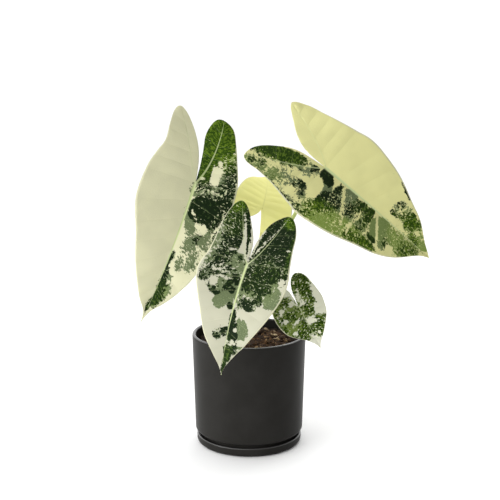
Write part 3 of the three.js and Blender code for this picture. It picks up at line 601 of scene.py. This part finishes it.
def blade_material(name, cream):
    """Marbled velvet: cream, grey-green and dark green patches, pale ribs and a clear margin."""
    n = Nodes(f"blade_{name}")
    gap = 2 * BLADES[name]["length"] / FRONT_ROWS
    flat = n.field("flat")
    streak = n.split(flat)[2]
    laterals, outward, share = n.split(n.field("vein"))
    dark_depth, grey_depth, light_depth = n.split(n.field("tone"))
    mottle, olive, rib = n.split(n.field("look"))

    # Noise for ragged edges of the patches, drawn out along the laterals where they are streaked
    drawn = n.vector(laterals, n.times(outward, 0.55), share)
    drawn = n.noise(drawn, 0.42, 3.0, 0.6, 0.4)
    fleck = n.noise(flat, 0.30, 3.0, 0.6, 0.5)
    ragged = n.math("ADD", n.times(n.noise(flat, 0.12, 2.0, 0.6, 0.4), 0.4), n.times(fleck, 0.6))
    ragged = n.math("SUBTRACT", n.mix_value(streak, ragged, drawn), 0.5)
    other = n.noise(flat, 0.24, 3.0, 0.6, 0.6)
    other = n.mix_value(streak, other, n.math("SUBTRACT", 1.0, drawn))
    other = n.math("SUBTRACT", other, 0.5)

    # The patches: dark ones with a grey-green fringe, grey-green ones, and cream ones over both
    dark = n.ramp(n.scaled(ragged, n.scaled(mottle, 44.0, 11.0), dark_depth), -0.9, -0.3)
    grey = n.ramp(n.scaled(other, n.scaled(mottle, 40.0, 10.0), grey_depth), -0.3, 0.4)
    fringe = n.scaled(other, n.scaled(mottle, 20.0, 8.0), n.scaled(mottle, 2.2, dark_depth))
    grey = n.math("MAXIMUM", grey, n.ramp(fringe, -0.4, 0.4, 0.0, 0.9))
    light = n.ramp(n.scaled(ragged, n.scaled(mottle, -15.0, -6.0), light_depth), -0.2, 0.3)

    # Small flecks, more of them in the mottled stretches
    grain = n.vector(laterals, n.times(outward, 0.62), share)
    most, least = n.scaled(mottle, -0.18, 0.74), n.scaled(mottle, 0.13, 0.24)
    pale_fleck = n.step(n.noise(grain, 0.52, 2.0, 0.55, 0.5), most, 0.03)
    dark_fleck = n.step(n.noise(grain, 0.45, 3.0, 0.6, 0.4), least, 0.03, 1.0, 0.0)

    # The tones of each kind of tissue
    dark_green, mid_green, grey_green, pale_green = (
        n.mix(olive, *GREENS[key]) for key in ("dark", "mid", "grey", "pale")
    )
    shade = n.noise(grain, 0.36, 3.0, 0.62, 0.4)
    turning = n.step(shade, n.scaled(olive, -0.09, 0.55), 0.13)
    dark_green = n.mix(turning, dark_green, mid_green)
    soft = n.mix_value(n.times(streak, 0.8), n.noise(flat, 0.6, 3.0, 0.62, 0.4), drawn)
    grey_green = n.mix(n.ramp(soft, 0.52, 0.70, 0.0, 0.7), grey_green, pale_green)
    cloud = n.ramp(n.noise(flat, 0.03, 2.0), 0.35, 0.65)
    # The cream holds each blade's painted light from CREAM as well as the tissue's own colour
    tissue_and_light = n.mix(cloud, cream, tuple(0.94 * part for part in cream))
    pale = n.mix(n.ramp(shade, 0.4, 0.6), pale_green, tissue_and_light)

    colour = n.mix(grey, tissue_and_light, grey_green)
    colour = n.mix(n.math("MAXIMUM", dark, n.times(dark_fleck, grey)), colour, dark_green)
    colour = n.mix(n.math("MAXIMUM", light, pale_fleck), colour, n.mix(light, pale, tissue_and_light))

    # The main rib by its distance, fainter on the lobes and on cream
    pale_rib = tuple(0.9 * part for part in cream) if name == "back" else (0.52, 0.59, 0.30)
    front = n.ramp(laterals, 7.7 * gap, 8.4 * gap, 1.0, 0.0)
    green = n.math("MAXIMUM", dark, grey)
    main = n.math("MAXIMUM", front, n.scaled(green, 0.35, 0.22))
    main = n.times(n.ramp(rib, 0.7, 1.15, 1.0, 0.0), main)
    beside = n.times(n.ramp(rib, 1.0, 2.0, 0.5, 0.0), n.ramp(laterals, 2 * gap, 6 * gap))
    beside = n.times(beside, n.times(front, n.times(green, 0.8)))

    # The laterals by the fraction of their number
    fraction = n.math("FRACT", n.scaled(laterals, 1 / gap, 0.5))
    fraction = n.math("ABSOLUTE", n.math("SUBTRACT", fraction, 0.5))
    width = n.scaled(share, -0.42 / gap, 0.60 / gap)
    lateral = n.ramp(n.math("DIVIDE", fraction, width), 0.5, 1.4, 1.0, 0.0)
    strength = n.times(n.scaled(green, 0.13, 0.03), n.ramp(fleck, 0.40, 0.56, 0.1, 1.2))
    colour = n.mix(n.times(lateral, strength), colour, pale_rib)
    colour = n.mix(beside, colour, pale_green)
    colour = n.mix(main, colour, pale_rib)
    margin = n.ramp(n.field("margin", "Fac"), 0.966, 0.982, 0.0, 0.85)
    colour = n.mix(margin, colour, (0.66, 0.65, 0.46))
    colour = n.mix(n.field("under", "Fac"), colour, n.mix(0.55, colour, (0.34, 0.38, 0.24)))

    # Quilted relief between the net veins, and a soft velvet grain
    net = n.cell_edges(n.vector(laterals, outward, streak), 0.45)
    relief = n.scaled(n.noise(flat, 2.2, 2.0), 0.35, n.ramp(net, 0.0, 0.14, 0.0, 0.5))
    relief = n.scaled(lateral, -0.35, relief)
    rough = n.ramp(n.noise(flat, 0.3, 2.0), 0.3, 0.7, 0.46, 0.60)
    surface = n.surface(colour, rough, n.bump(relief, 0.35, 0.0004), 0.07)
    glow = n.mix(1.0, colour, (1.0, 0.98, 0.62), "MULTIPLY")
    through = n.named("ShaderNodeBsdfTranslucent", Color=glow).outputs[0]
    blend = n.new("ShaderNodeMixShader")
    n.fill(blend.inputs, 0.2, surface, through)
    return n.finish(blend.outputs[0])


def make_blade(name):
    points, quads, fields = surface_of(name)
    scale = BLADES[name]["length"] / USUAL_LENGTH
    kept, faces = merged(points, quads, 0.02)
    points = points[kept]
    fields = {key: values[kept] for key, values in fields.items()}
    normal = np.zeros_like(points)
    for corners in ((0, 1, 2), (0, 2, -1)):
        a, b, c = np.array([[face[i] for i in corners] for face in faces]).T
        cross = np.cross(points[b] - points[a], points[c] - points[a])
        for corner in (a, b, c):
            np.add.at(normal, corner, cross)
    normal /= np.linalg.norm(normal, axis=1, keepdims=True) + 1e-12
    thick = HALF_THICKNESS - MARGIN_THINNING * fields["margin"] ** 3
    ridge, side = fields["ridge"], fields["side"]
    above = thick + RIB_ABOVE * ridge * scale
    below = thick + RIB_BELOW * ridge * scale + LATERAL_BELOW * side * scale
    edges = dict.fromkeys((face[i - 1], v) for face in faces for i, v in enumerate(face))
    rim = [(a, b) for a, b in edges if (b, a) not in edges]
    upper, lower = points + normal * above[:, None], points - normal * below[:, None]
    read = {key: np.concatenate([fields[key]] * 2) for key in READ_FIELDS}
    read["under"] = np.repeat([0, 1], len(points))
    slot = "yellow_blade" if name == "back" else "blade"
    material = blade_material(name, CREAM[name])
    sheet = shell(upper, lower, faces, rim)
    piece(f"blade_{name}", f"leaf_{name}", slot, *sheet, material, **read)


# ---------------------------------------------------------------- stalks and corm
# angle is the way the stalk leaves the corm, lean its tilt there, radius at the foot and the top,
# pull how far it keeps its direction at the foot and the top
STALKS = {
    "left": dict(angle=-96, lean=14, radius=(3.6, 2.5), pull=(0.45, 0.22)),
    "right": dict(angle=84, lean=12, radius=(3.6, 2.4), pull=(0.5, 0.3)),
    "front": dict(angle=-26, lean=12, radius=(3.5, 2.4), pull=(0.45, 0.28)),
    "small": dict(angle=32, lean=14, radius=(2.4, 1.6), pull=(0.6, 0.4)),
    "back": dict(angle=150, lean=14, radius=(3.6, 2.4), pull=(0.4, 0.45), arrival=(0, -0.35, 0.94)),
}
STALK_STEPS = 90
STALK_SIDES = 20
CORM_CENTRE = (-10, 14)
CORM_RING = 7.3
CORM_TOP = 149
SOCKET_DEPTH = 8
CORM_PROFILE = [(0, 104), (8.7, 104), (12, 109), (13.8, 116), (14.4, 125), (14.5, 131),
                (14.2, 137), (13.6, 141.5), (12.4, 145), (10.6, 147.2), (7, 148.4), (0, 148.8)]


def stalk_points(name):
    """The stalk's centreline, from its socket in the corm to the underside of its blade."""
    blade, stalk = BLADES[name], STALKS[name]
    angle, lean = radians(stalk["angle"]), radians(stalk["lean"])
    outward = np.array([sin(angle), -cos(angle), 0])
    foot = outward * CORM_RING + np.array([*CORM_CENTRE, CORM_TOP - SOCKET_DEPTH])
    rise = outward * sin(lean) + np.array([0, 0, cos(lean)])
    _, _, face = blade_frame(blade)
    arrival = unit(stalk["arrival"]) if "arrival" in stalk else face
    top = np.array(blade["attach"], float) - face * 0.55
    reach = np.linalg.norm(top - foot)
    p1 = foot + rise * stalk["pull"][0] * reach
    p2 = top - arrival * stalk["pull"][1] * reach
    t = np.linspace(0, 1, 400)[:, None]
    curve = foot * (1 - t) ** 3 + 3 * p1 * t * (1 - t) ** 2 + 3 * p2 * t**2 * (1 - t) + top * t**3
    return points_at(curve, np.linspace(0, lengths_along(curve)[-1], STALK_STEPS))


def tube(path, radii, sides, shape=None):
    """Points and faces of a closed round bar along a path, with each point's share of the way and
    its angle. shape scales the radius by angle and share."""
    tangent = np.gradient(path, axis=0)
    tangent /= np.linalg.norm(tangent, axis=1, keepdims=True)
    normal = np.cross(tangent[0], [0.3, 0.9, 0.2])
    turn = np.linspace(0, 2 * pi, sides, endpoint=False)
    share = np.arange(len(path)) / (len(path) - 1)
    points = []
    for i, centre in enumerate(path):
        normal = unit(normal - tangent[i] * (normal @ tangent[i]))
        across = np.cross(tangent[i], normal)
        radius = radii[i] * (1 if shape is None else shape(turn, share[i]))
        ring = centre + np.outer(radius * np.cos(turn), normal)
        points.append(ring + np.outer(radius * np.sin(turn), across))
    points = np.concatenate(points + [path[:1], path[-1:]])
    faces = grid_faces(len(path), sides, closed=True).tolist()
    count = len(path) * sides
    for j in range(sides):
        k = (j + 1) % sides
        faces += [[count, k, j], [count + 1, count - sides + j, count - sides + k]]
    shares = np.concatenate([np.repeat(share, sides), [0, 1]])
    return points, faces, shares, np.concatenate([np.tile(turn, len(path)), [0, 0]])


def stalk_material(name, foot_colour, top_colour, streak_colour):
    """Yellow-green, paler at the foot, with fine lengthwise streaks and freckles."""
    n = Nodes(name)
    along, angle, length = n.split(n.field("stalk"))
    around = n.math("COSINE", angle), n.math("SINE", angle)
    streak = n.noise(n.vector(*around, n.times(length, 0.02)), 6.0, 3.0, 0.6)
    freckle = n.noise(n.vector(*around, n.times(length, 0.3)), 3.0, 2.0)
    foot = n.mix(n.ramp(along, 0.0, 0.35), (0.52, 0.50, 0.26), foot_colour)
    colour = n.mix(n.ramp(along, 0.4, 1.0), foot, top_colour)
    colour = n.mix(n.ramp(streak, 0.45, 0.75, 0.0, 0.7), colour, streak_colour)
    colour = n.mix(n.ramp(freckle, 0.62, 0.72, 0.0, 0.5), colour, (0.62, 0.60, 0.38))
    return n.finish(n.surface(colour, 0.42, n.bump(streak, 0.25, 0.0005), 0.4))


def grooved(turn, share):
    """The stalk's radius as a share of the round one, with a groove that fades upwards."""
    return 1 - 0.16 * (1 - share) ** 2 * np.exp(-(((turn - pi) / 0.5) ** 2))


def make_stalk(name, material):
    path = stalk_points(name)
    foot, top = STALKS[name]["radius"]
    share = np.linspace(0, 1, STALK_STEPS)
    radii = top + (foot - top) * (1 - share) ** 1.6
    radii = radii * (1 + 0.12 * np.exp(-(((share - 0.985) / 0.03) ** 2)))
    points, faces, shares, angles = tube(path, radii, STALK_SIDES, grooved)
    stalk = np.stack([shares, angles, shares * lengths_along(path)[-1]], 1)
    piece(f"stalk_{name}", f"petiole_{name}", "petiole", points, faces, material, stalk=stalk)


def bumpy(points, seed, size, reach):
    """Points moved by a smooth random field of the given wavelength and reach, in mm."""
    random = np.random.default_rng(seed)
    moved = np.zeros_like(points)
    for _ in range(10):
        way = unit(random.normal(size=3)) * 2 * pi / (size * random.uniform(0.7, 1.6))
        push = unit(random.normal(size=3))
        moved += np.outer(np.sin(points @ way + random.uniform(0, 2 * pi)), push)
    return points + moved * reach / 3


def joined(parts):
    """One mesh from several (points, faces, value), where value is for the tint."""
    points, faces, values, start = [], [], [], 0
    for part_points, part_faces, value in parts:
        points.append(part_points)
        faces += [[v + start for v in face] for face in part_faces]
        values.append(np.broadcast_to(value, len(part_points)))
        start += len(part_points)
    return np.concatenate(points), faces, np.concatenate(values)


def turned(profile, sides):
    """Points and faces of a body turned about Z from a profile of (radius, height)."""
    profile = np.asarray(profile, float)
    turn = np.linspace(0, 2 * pi, sides, endpoint=False)
    rings = profile[:, None, 0:1] * np.stack([np.cos(turn), np.sin(turn)], 1)[None]
    heights = np.broadcast_to(profile[:, None, 1:2], rings.shape[:2] + (1,))
    points = np.concatenate([rings, heights], -1).reshape(-1, 3)
    kept, faces = merged(points, grid_faces(len(profile), sides, closed=True), 0.001)
    return points[kept], faces


def corm_material():
    """Brown corm, with lighter papery sheaths that are green at the top."""
    n = Nodes("corm")
    tint = n.field("tint", "Fac")
    drawn = n.new("ShaderNodeVectorMath")
    drawn.operation = "MULTIPLY"
    n.fill(drawn.inputs, n.where(), (1, 1, 0.3))
    grain = n.noise(drawn.outputs[0], 700.0, 4.0, 0.65)
    colour = n.mix(n.ramp(grain, 0.35, 0.65), (0.10, 0.055, 0.028), (0.26, 0.16, 0.08))
    paper = n.mix(n.ramp(grain, 0.35, 0.7), (0.30, 0.21, 0.11), (0.50, 0.40, 0.24))
    green = n.mix(n.ramp(grain, 0.35, 0.7), (0.42, 0.44, 0.18), (0.55, 0.52, 0.28))
    colour = n.mix(n.ramp(tint, 0.2, 0.5), colour, paper)
    colour = n.mix(n.ramp(tint, 0.7, 1.0), colour, green)
    return n.finish(n.surface(colour, 0.75, n.bump(grain, 0.6, 0.0008), 0.25))


def sheath(name, order):
    """A torn sheath that wraps most of the foot of a stalk, with its values for the tint."""
    tall = 13 + 3 * np.random.default_rng(40 + order).random()
    places = np.linspace(0, 1, 18)
    centre = points_at(stalk_points(name), places * tall * 1.3)
    tangent = unit(centre[3] - centre[0])
    away = np.array([*(centre[0, :2] - np.array(CORM_CENTRE)), 0])
    away = unit(away - tangent * (away @ tangent))
    across = np.cross(tangent, away)
    turn = np.linspace(-2.0, 2.0, 25)
    reach = 1 - 0.62 * np.abs(turn / 2.0) ** 1.5
    rings = []
    for part in places:
        flare = STALKS[name]["radius"][0] + 0.5 + 1.3 * part**2 + 0.6 * (1 - part)
        base = np.stack([np.interp(part * reach, places, column) for column in centre.T], 1)
        ring = base + np.outer(flare * np.cos(turn), away)
        rings.append(ring + np.outer(flare * np.sin(turn), across))
    outer = bumpy(np.concatenate(rings), 60 + order, 7, 0.35)
    inward = np.repeat(centre, len(turn), axis=0) - outer
    inner = outer + inward / np.linalg.norm(inward, axis=1, keepdims=True) * 0.35
    size = len(places), len(turn)
    number = np.arange(len(outer)).reshape(size)
    border = [number[0], number[1:, -1], number[-1, -2::-1], number[-2:0:-1, 0]]
    border = np.concatenate(border).tolist()
    rim = zip(border, border[1:] + border[:1])
    points, faces = shell(outer, inner, grid_faces(*size).tolist(), rim)
    return points, faces, np.tile(np.repeat(0.45 + 0.5 * places, len(turn)), 2)


def make_corm():
    """The corm's body, and a sheath round the foot of each stalk."""
    points, faces = turned(spaced(CORM_PROFILE, 0, 1, np.linspace(0, 1, 60)), 72)
    points = bumpy(points, 3, 9, 0.7)
    points[:, :2] += CORM_CENTRE
    sheaths = [sheath(name, order) for order, name in enumerate(STALKS)]
    points, faces, tint = joined([(points, faces, 0.0), *sheaths])
    piece("corm_body", "corm", "corm", points, faces, corm_material(), tint=tint)


# ---------------------------------------------------------------- potting mix
SOIL_TOP = 138.5
SOIL_BOTTOM = 13.6
HEAP = 4.5
# Radius in mm, how many and how deep they sit, for coarse bark, fine bark and crumbs
CHUNKS = ((4.6, 90, 0.15), (3.0, 260, 0.1), (1.6, 620, 0.05))
FIBRES = 110
# The tint goes up through these, from wet coir over bark to pumice
SOIL_COLOURS = [(0.0, (0.022, 0.013, 0.008)), (0.3, (0.060, 0.030, 0.015)),
                (0.55, (0.115, 0.058, 0.028)), (0.75, (0.23, 0.125, 0.055)),
                (0.88, (0.42, 0.27, 0.13)), (1.0, (0.72, 0.56, 0.36))]


def icosphere():
    """Points and triangles of a once divided icosahedron."""
    g = (1 + 5**0.5) / 2
    points = [unit(np.roll((x, y, 0), k)) for k in range(3) for y in (g, -g) for x in (-1, 1)]
    faces = [(0, 11, 5), (0, 5, 1), (0, 1, 7), (0, 7, 10), (0, 10, 11), (1, 5, 9), (5, 11, 4),
             (11, 10, 2), (10, 7, 6), (7, 1, 8), (3, 9, 4), (3, 4, 2), (3, 2, 6), (3, 6, 8),
             (3, 8, 9), (4, 9, 5), (2, 4, 11), (6, 2, 10), (8, 6, 7), (9, 8, 1)]
    middle, divided = {}, []

    def halfway(a, b):
        key = (min(a, b), max(a, b))
        if key not in middle:
            middle[key] = len(points)
            points.append(unit(points[a] + points[b]))
        return middle[key]

    for a, b, c in faces:
        ab, bc, ca = halfway(a, b), halfway(b, c), halfway(c, a)
        divided += [[a, ab, ca], [b, bc, ab], [c, ca, bc], [ab, bc, ca]]
    return np.array(points), divided


def turn_matrix(random):
    """A random rotation."""
    w, x, y, z = unit(random.normal(size=4))
    return np.array([
        [1 - 2 * (y * y + z * z), 2 * (x * y - z * w), 2 * (x * z + y * w)],
        [2 * (x * y + z * w), 1 - 2 * (x * x + z * z), 2 * (y * z - x * w)],
        [2 * (x * z - y * w), 2 * (y * z + x * w), 1 - 2 * (x * x + y * y)],
    ])


def soil_material():
    """Bark, coir and pumice: each chunk has its own tint and a rough grain. Darker near the wall:
    painted shade.
    """
    n = Nodes("soil")
    where = n.where()
    grain = n.noise(where, 420.0, 5.0, 0.68)
    ramp = n.new("ShaderNodeValToRGB")
    elements = ramp.color_ramp.elements
    while len(elements) < len(SOIL_COLOURS):
        elements.new(0.5)
    for element, (position, rgb) in zip(elements, SOIL_COLOURS):
        element.position = position
        element.color = (*rgb, 1)
    n.feed(ramp.inputs[0], n.field("tint", "Fac"))
    colour = ramp.outputs[0]
    shaded = n.mix(0.5, colour, (0.02, 0.012, 0.008))
    colour = n.mix(n.ramp(grain, 0.3, 0.7), shaded, colour)
    x, y, _ = n.split(where)
    radius = n.math("SQRT", n.scaled(x, x, n.math("POWER", y, 2.0)))
    # Painted shade: the mix darkens towards the pot wall
    wall_shade = n.ramp(radius, 0.047, 0.062, 0.0, 0.75)
    colour = n.mix(wall_shade, colour, (0.012, 0.008, 0.006))
    return n.finish(n.surface(colour, 0.88, n.bump(grain, 0.8, 0.0012), 0.25))


def mound(x, y):
    """How far the mix is heaped up in the middle, in mm."""
    slope = np.clip((np.hypot(x, y) - 28) / 34, 0, 1)
    return HEAP * (1 - slope * slope * (3 - 2 * slope))


def near_corm(x, y, reach):
    """Whether a place is within reach of the corm's middle."""
    return np.hypot(x - CORM_CENTRE[0], y - CORM_CENTRE[1]) < reach


def soil_ground():
    """The body of the mix, with a lumpy top, as one closed turned mesh."""
    profile = [(0, SOIL_BOTTOM), (58, SOIL_BOTTOM), (66.8, 22)]
    profile += [(inside_radius(z) - 0.5, z) for z in np.linspace(25, SOIL_TOP - 1.5, 12)]
    profile += [(r, SOIL_TOP) for r in np.linspace(inside_radius(SOIL_TOP) - 1.4, 0, 60)]
    points, faces = turned(profile, 160)
    high = points[:, 2] > SOIL_TOP - 0.1
    lumps = bumpy(points, 8, 14, 1.3)[:, 2] + bumpy(points, 9, 5, 0.9)[:, 2] - 2 * points[:, 2]
    points[high, 2] += lumps[high] - 0.8 + mound(points[high, 0], points[high, 1])
    return points, faces, 0.22


def soil_chunks(random):
    """Chunks of bark and pumice and fine crumbs, half sunk in the top."""
    ball, ball_faces = icosphere()
    parts = []
    for size, sink in ((size, sink) for size, count, sink in CHUNKS for _ in range(count)):
        big = size * random.uniform(0.65, 1.25)
        radius = (inside_radius(SOIL_TOP) - big - 0.8) * np.sqrt(random.random())
        angle = random.uniform(0, 2 * pi)
        x, y = radius * cos(angle), radius * sin(angle)
        if near_corm(x, y, 15 + 0.6 * big):
            continue
        squash = [random.uniform(*span) for span in ((0.9, 1.3), (0.65, 0.95), (0.45, 0.75))]
        shape = bumpy(ball, int(random.integers(1e6)), 1.6, 0.32) * np.array(squash) * big
        shape = shape @ turn_matrix(random).T
        shape[:, 2] *= 0.8
        ground = SOIL_TOP + mound(x, y)
        shape += (x, y, ground + big * random.uniform(-0.35, 0.25) - sink)
        shape[:, 2] = np.minimum(shape[:, 2], ground + 5.5)
        tints = [random.uniform(*span) for span in ((0.1, 0.5), (0.45, 0.75), (0.8, 1.0))]
        parts.append((shape, ball_faces, random.choice(tints, p=[0.5, 0.33, 0.17])))
    return parts


def coir_fibres(random):
    """Bent fibres lying on the top."""
    t = np.linspace(-1, 1, 9)
    parts = []
    for _ in range(FIBRES):
        radius = (inside_radius(SOIL_TOP) - 9) * np.sqrt(random.random())
        angle = random.uniform(0, 2 * pi)
        x, y = radius * cos(angle), radius * sin(angle)
        if near_corm(x, y, 20):
            continue
        way = random.uniform(0, 2 * pi)
        reach = random.uniform(3, 7)
        bow = np.stack([reach * t * cos(way), reach * t * sin(way), 1.4 * (1 - t**2)], 1)
        path = np.array([x, y, SOIL_TOP + 0.9 + mound(x, y)]) + bow
        path = bumpy(path, int(random.integers(1e6)), 6, 0.8)
        points, faces, _, _ = tube(path, np.full(len(t), 0.22), 5)
        parts.append((points, faces, random.uniform(0.5, 0.85)))
    return parts


def make_soil():
    random = np.random.default_rng(11)
    parts = [soil_ground(), *soil_chunks(random), *coir_fibres(random)]
    points, faces, tint = joined(parts)
    piece("potting_mix", "soil", "soil", points, faces, soil_material(), tint=tint)


# ---------------------------------------------------------------- pot and saucer
POT_RIM_RADIUS = 76
POT_LOW_RADIUS = 72.4
POT_TOP = 151
POT_WALL = 5
POT_BODY_BOTTOM = 17
POT_CORNER = 4.5
POT_FLOOR = 13.3
POT_FLOOR_CORNER = 6
FOOT_RADIUS = 64
FOOT_RECESS = 7.3
DRAIN_RADIUS = 6
SAUCER_RADIUS = 70.5
SAUCER_LIP = 1.75
SAUCER_FLOOR = 4
TURNED_SIDES = 224


def inside_radius(height):
    """The pot's inside radius at a height."""
    share = (height - POT_BODY_BOTTOM) / (POT_TOP - POT_BODY_BOTTOM)
    return POT_LOW_RADIUS + (POT_RIM_RADIUS - POT_LOW_RADIUS) * share - POT_WALL


def corner(centre, radius, start, end, steps):
    """Points of a round corner, by angles in degrees."""
    turn = np.radians(np.linspace(start, end, steps))
    return [(centre[0] + radius * cos(a), centre[1] + radius * sin(a)) for a in turn]


def line(start, end, steps):
    """Points from start up to but not including end."""
    t = np.linspace(0, 1, steps, endpoint=False)[:, None]
    return [tuple(p) for p in np.array(start) * (1 - t) + np.array(end) * t]


def glaze_material(name, edge):
    """Matte black glaze with a fine grain, faintly cloudy, and smoother above the edge height,
    where its lighter colour is a painted highlight.
    """
    n = Nodes(name)
    where = n.where()
    cloud = n.noise(where, 28.0, 3.0, 0.55)
    grain = n.noise(where, 1500.0, 2.0, 0.6)
    crest = n.ramp(n.split(where)[2], edge * MM, (edge + 1.2) * MM)
    colour = n.mix(n.ramp(cloud, 0.3, 0.7), (0.0165, 0.0158, 0.0142), (0.0200, 0.0192, 0.0176))
    # Painted highlight: a lighter colour along the crest of the rim
    colour = n.mix(crest, colour, (0.030, 0.029, 0.028))
    rough = n.mix_value(crest, n.ramp(cloud, 0.25, 0.75, 0.33, 0.40), 0.2)
    gloss = n.mix_value(crest, 0.04, 0.9)
    return n.finish(n.surface(colour, rough, n.bump(grain, 0.12, 0.0002), gloss))


def make_pot():
    """The pot, turned from its drain hole over the foot and the wall to its inside."""
    lip = POT_WALL / 2
    low = (POT_LOW_RADIUS - POT_CORNER, POT_BODY_BOTTOM + POT_CORNER)
    hole = [(DRAIN_RADIUS, height) for height in (POT_FLOOR, FOOT_RECESS)]
    profile = line(hole[1], (56, FOOT_RECESS), 3)
    profile += corner((56.6, 7.0), 0.5, 90, 0, 4) + line((57.1, 5.0), (57.4, 4.6), 2)
    profile += corner((58, 4.9), 0.6, 180, 270, 4) + corner((63.2, 5.1), 0.8, -90, 0, 6)
    profile += line((FOOT_RADIUS, 6), (FOOT_RADIUS, 16), 4)
    profile += corner((FOOT_RADIUS + 1, 16), 1.0, 180, 90, 5)
    profile += corner(low, POT_CORNER, -90, 0, 14)
    profile += line((POT_LOW_RADIUS, low[1] + 1), (POT_RIM_RADIUS, POT_TOP - lip - 1), 24)
    profile += corner((POT_RIM_RADIUS - lip, POT_TOP - lip), lip, 0, 180, 20)
    profile += line((inside_radius(POT_TOP - 4), POT_TOP - 4), (inside_radius(24), 24), 12)
    floor_corner = (inside_radius(24) - POT_FLOOR_CORNER, POT_FLOOR + POT_FLOOR_CORNER)
    profile += corner(floor_corner, POT_FLOOR_CORNER, 0, -90, 6)
    profile += line((58, POT_FLOOR), hole[0], 3) + hole
    glaze = glaze_material("pot_glaze", POT_TOP - 1.6)
    piece("pot_body", "pot", "pot", *turned(profile, TURNED_SIDES), glaze)


def make_saucer():
    """The saucer, turned from under its middle over the lip to its floor."""
    profile = line((0, 0), (64.5, 0), 4) + corner((64.5, 6), 6, -90, 0, 16)
    profile += line((SAUCER_RADIUS, 6.6), (SAUCER_RADIUS, 10.2), 3)
    profile += corner((SAUCER_RADIUS - SAUCER_LIP, 10.75), SAUCER_LIP, 0, 180, 16)
    profile += line((67, 10), (67, 6.2), 3) + corner((64.8, 6.2), 2.2, 0, -90, 6)
    profile += line((64, SAUCER_FLOOR), (0, SAUCER_FLOOR), 5) + [(0, SAUCER_FLOOR)]
    glaze = glaze_material("saucer_glaze", 10.9)
    piece("saucer_dish", "saucer", "saucer", *turned(profile, TURNED_SIDES), glaze)


# ---------------------------------------------------------------- stage
def make_floor():
    """A pale floor that reaches far behind the plant."""
    points = [(-15000, -6000, 0), (15000, -6000, 0), (15000, 24000, 0), (-15000, 24000, 0)]
    n = Nodes("floor")
    tone = n.ramp(n.noise(n.where(), 3.0, 2.0), 0.3, 0.7, 0.95, 0.97)
    colour = n.vector(tone, tone, tone)
    paper = n.named("ShaderNodeBsdfPrincipled", Base_Color=colour, Roughness=0.9)
    mesh_object("floor", points, [[0, 1, 2, 3]], n.finish(paper.outputs[0]))


def area_light(name, location, target, size, power):
    light = bpy.data.lights.new(name, "AREA")
    light.shape = "RECTANGLE"
    light.size, light.size_y = size
    light.energy = power
    thing = bpy.data.objects.new(name, light)
    bpy.context.scene.collection.objects.link(thing)
    back = unit(np.array(location) - np.array(target))
    side = unit(np.cross([0, 0, 1], back))
    rows = np.stack([side, np.cross(back, side), back, location], 1)
    thing.matrix_world = Matrix([*rows, (0, 0, 0, 1)])


def make_world():
    """Even light all round, brighter from behind on the left."""
    world = bpy.data.worlds.new("studio")
    bpy.context.scene.world = world
    world.use_nodes = True
    tree = world.node_tree
    toward = tree.nodes.new("ShaderNodeVectorMath")
    toward.operation = "DOT_PRODUCT"
    way = tree.nodes.new("ShaderNodeTexCoord").outputs["Generated"]
    tree.links.new(way, toward.inputs[0])
    toward.inputs[1].default_value = (-0.62, 0.78, 0.1)
    level = tree.nodes.new("ShaderNodeMapRange")
    level.interpolation_type = "SMOOTHSTEP"
    for socket, value in zip(level.inputs[1:5], (-0.85, 0.4, 0.42, 1.40)):
        socket.default_value = value
    tree.links.new(toward.outputs["Value"], level.inputs[0])
    background = tree.nodes["Background"]
    background.inputs[0].default_value = (1, 1, 1, 1)
    tree.links.new(level.outputs[0], background.inputs[1])


def make_camera():
    """The photo's view, fitted to the ellipses of the pot's rim and the saucer."""
    camera = bpy.data.cameras.new("camera")
    camera.sensor_width = 36
    camera.lens = 83.66
    camera.clip_start, camera.clip_end = 0.05, 60
    thing = bpy.data.objects.new("camera", camera)
    thing.location = (0.0013, -1.5, 0.585)
    thing.rotation_euler = (radians(77.9), 0, 0)
    bpy.context.scene.collection.objects.link(thing)
    bpy.context.scene.camera = thing


make_saucer()
make_pot()
make_soil()
make_corm()
green = stalk_material("stalk_green", (0.40, 0.47, 0.13), (0.47, 0.52, 0.17), (0.22, 0.32, 0.07))
yellow = stalk_material("stalk_yellow", (0.62, 0.58, 0.20), (0.74, 0.70, 0.26), (0.60, 0.58, 0.16))
for blade_name in BLADES:
    make_stalk(blade_name, yellow if blade_name == "back" else green)
    make_blade(blade_name)
make_floor()
make_world()
area_light("side", (-1.5, -1.1, 0.42), (0, 0, 0.15), (1.4, 0.75), 28)
area_light("front", (-0.5, -1.9, 1.9), (0, 0, 0.25), (1.3, 1.0), 6)
area_light("top", (0.4, 1.0, 1.7), (0, 0, 0.2), (1.4, 0.9), 10)
make_camera()
bpy.context.scene.view_settings.view_transform = "Standard"
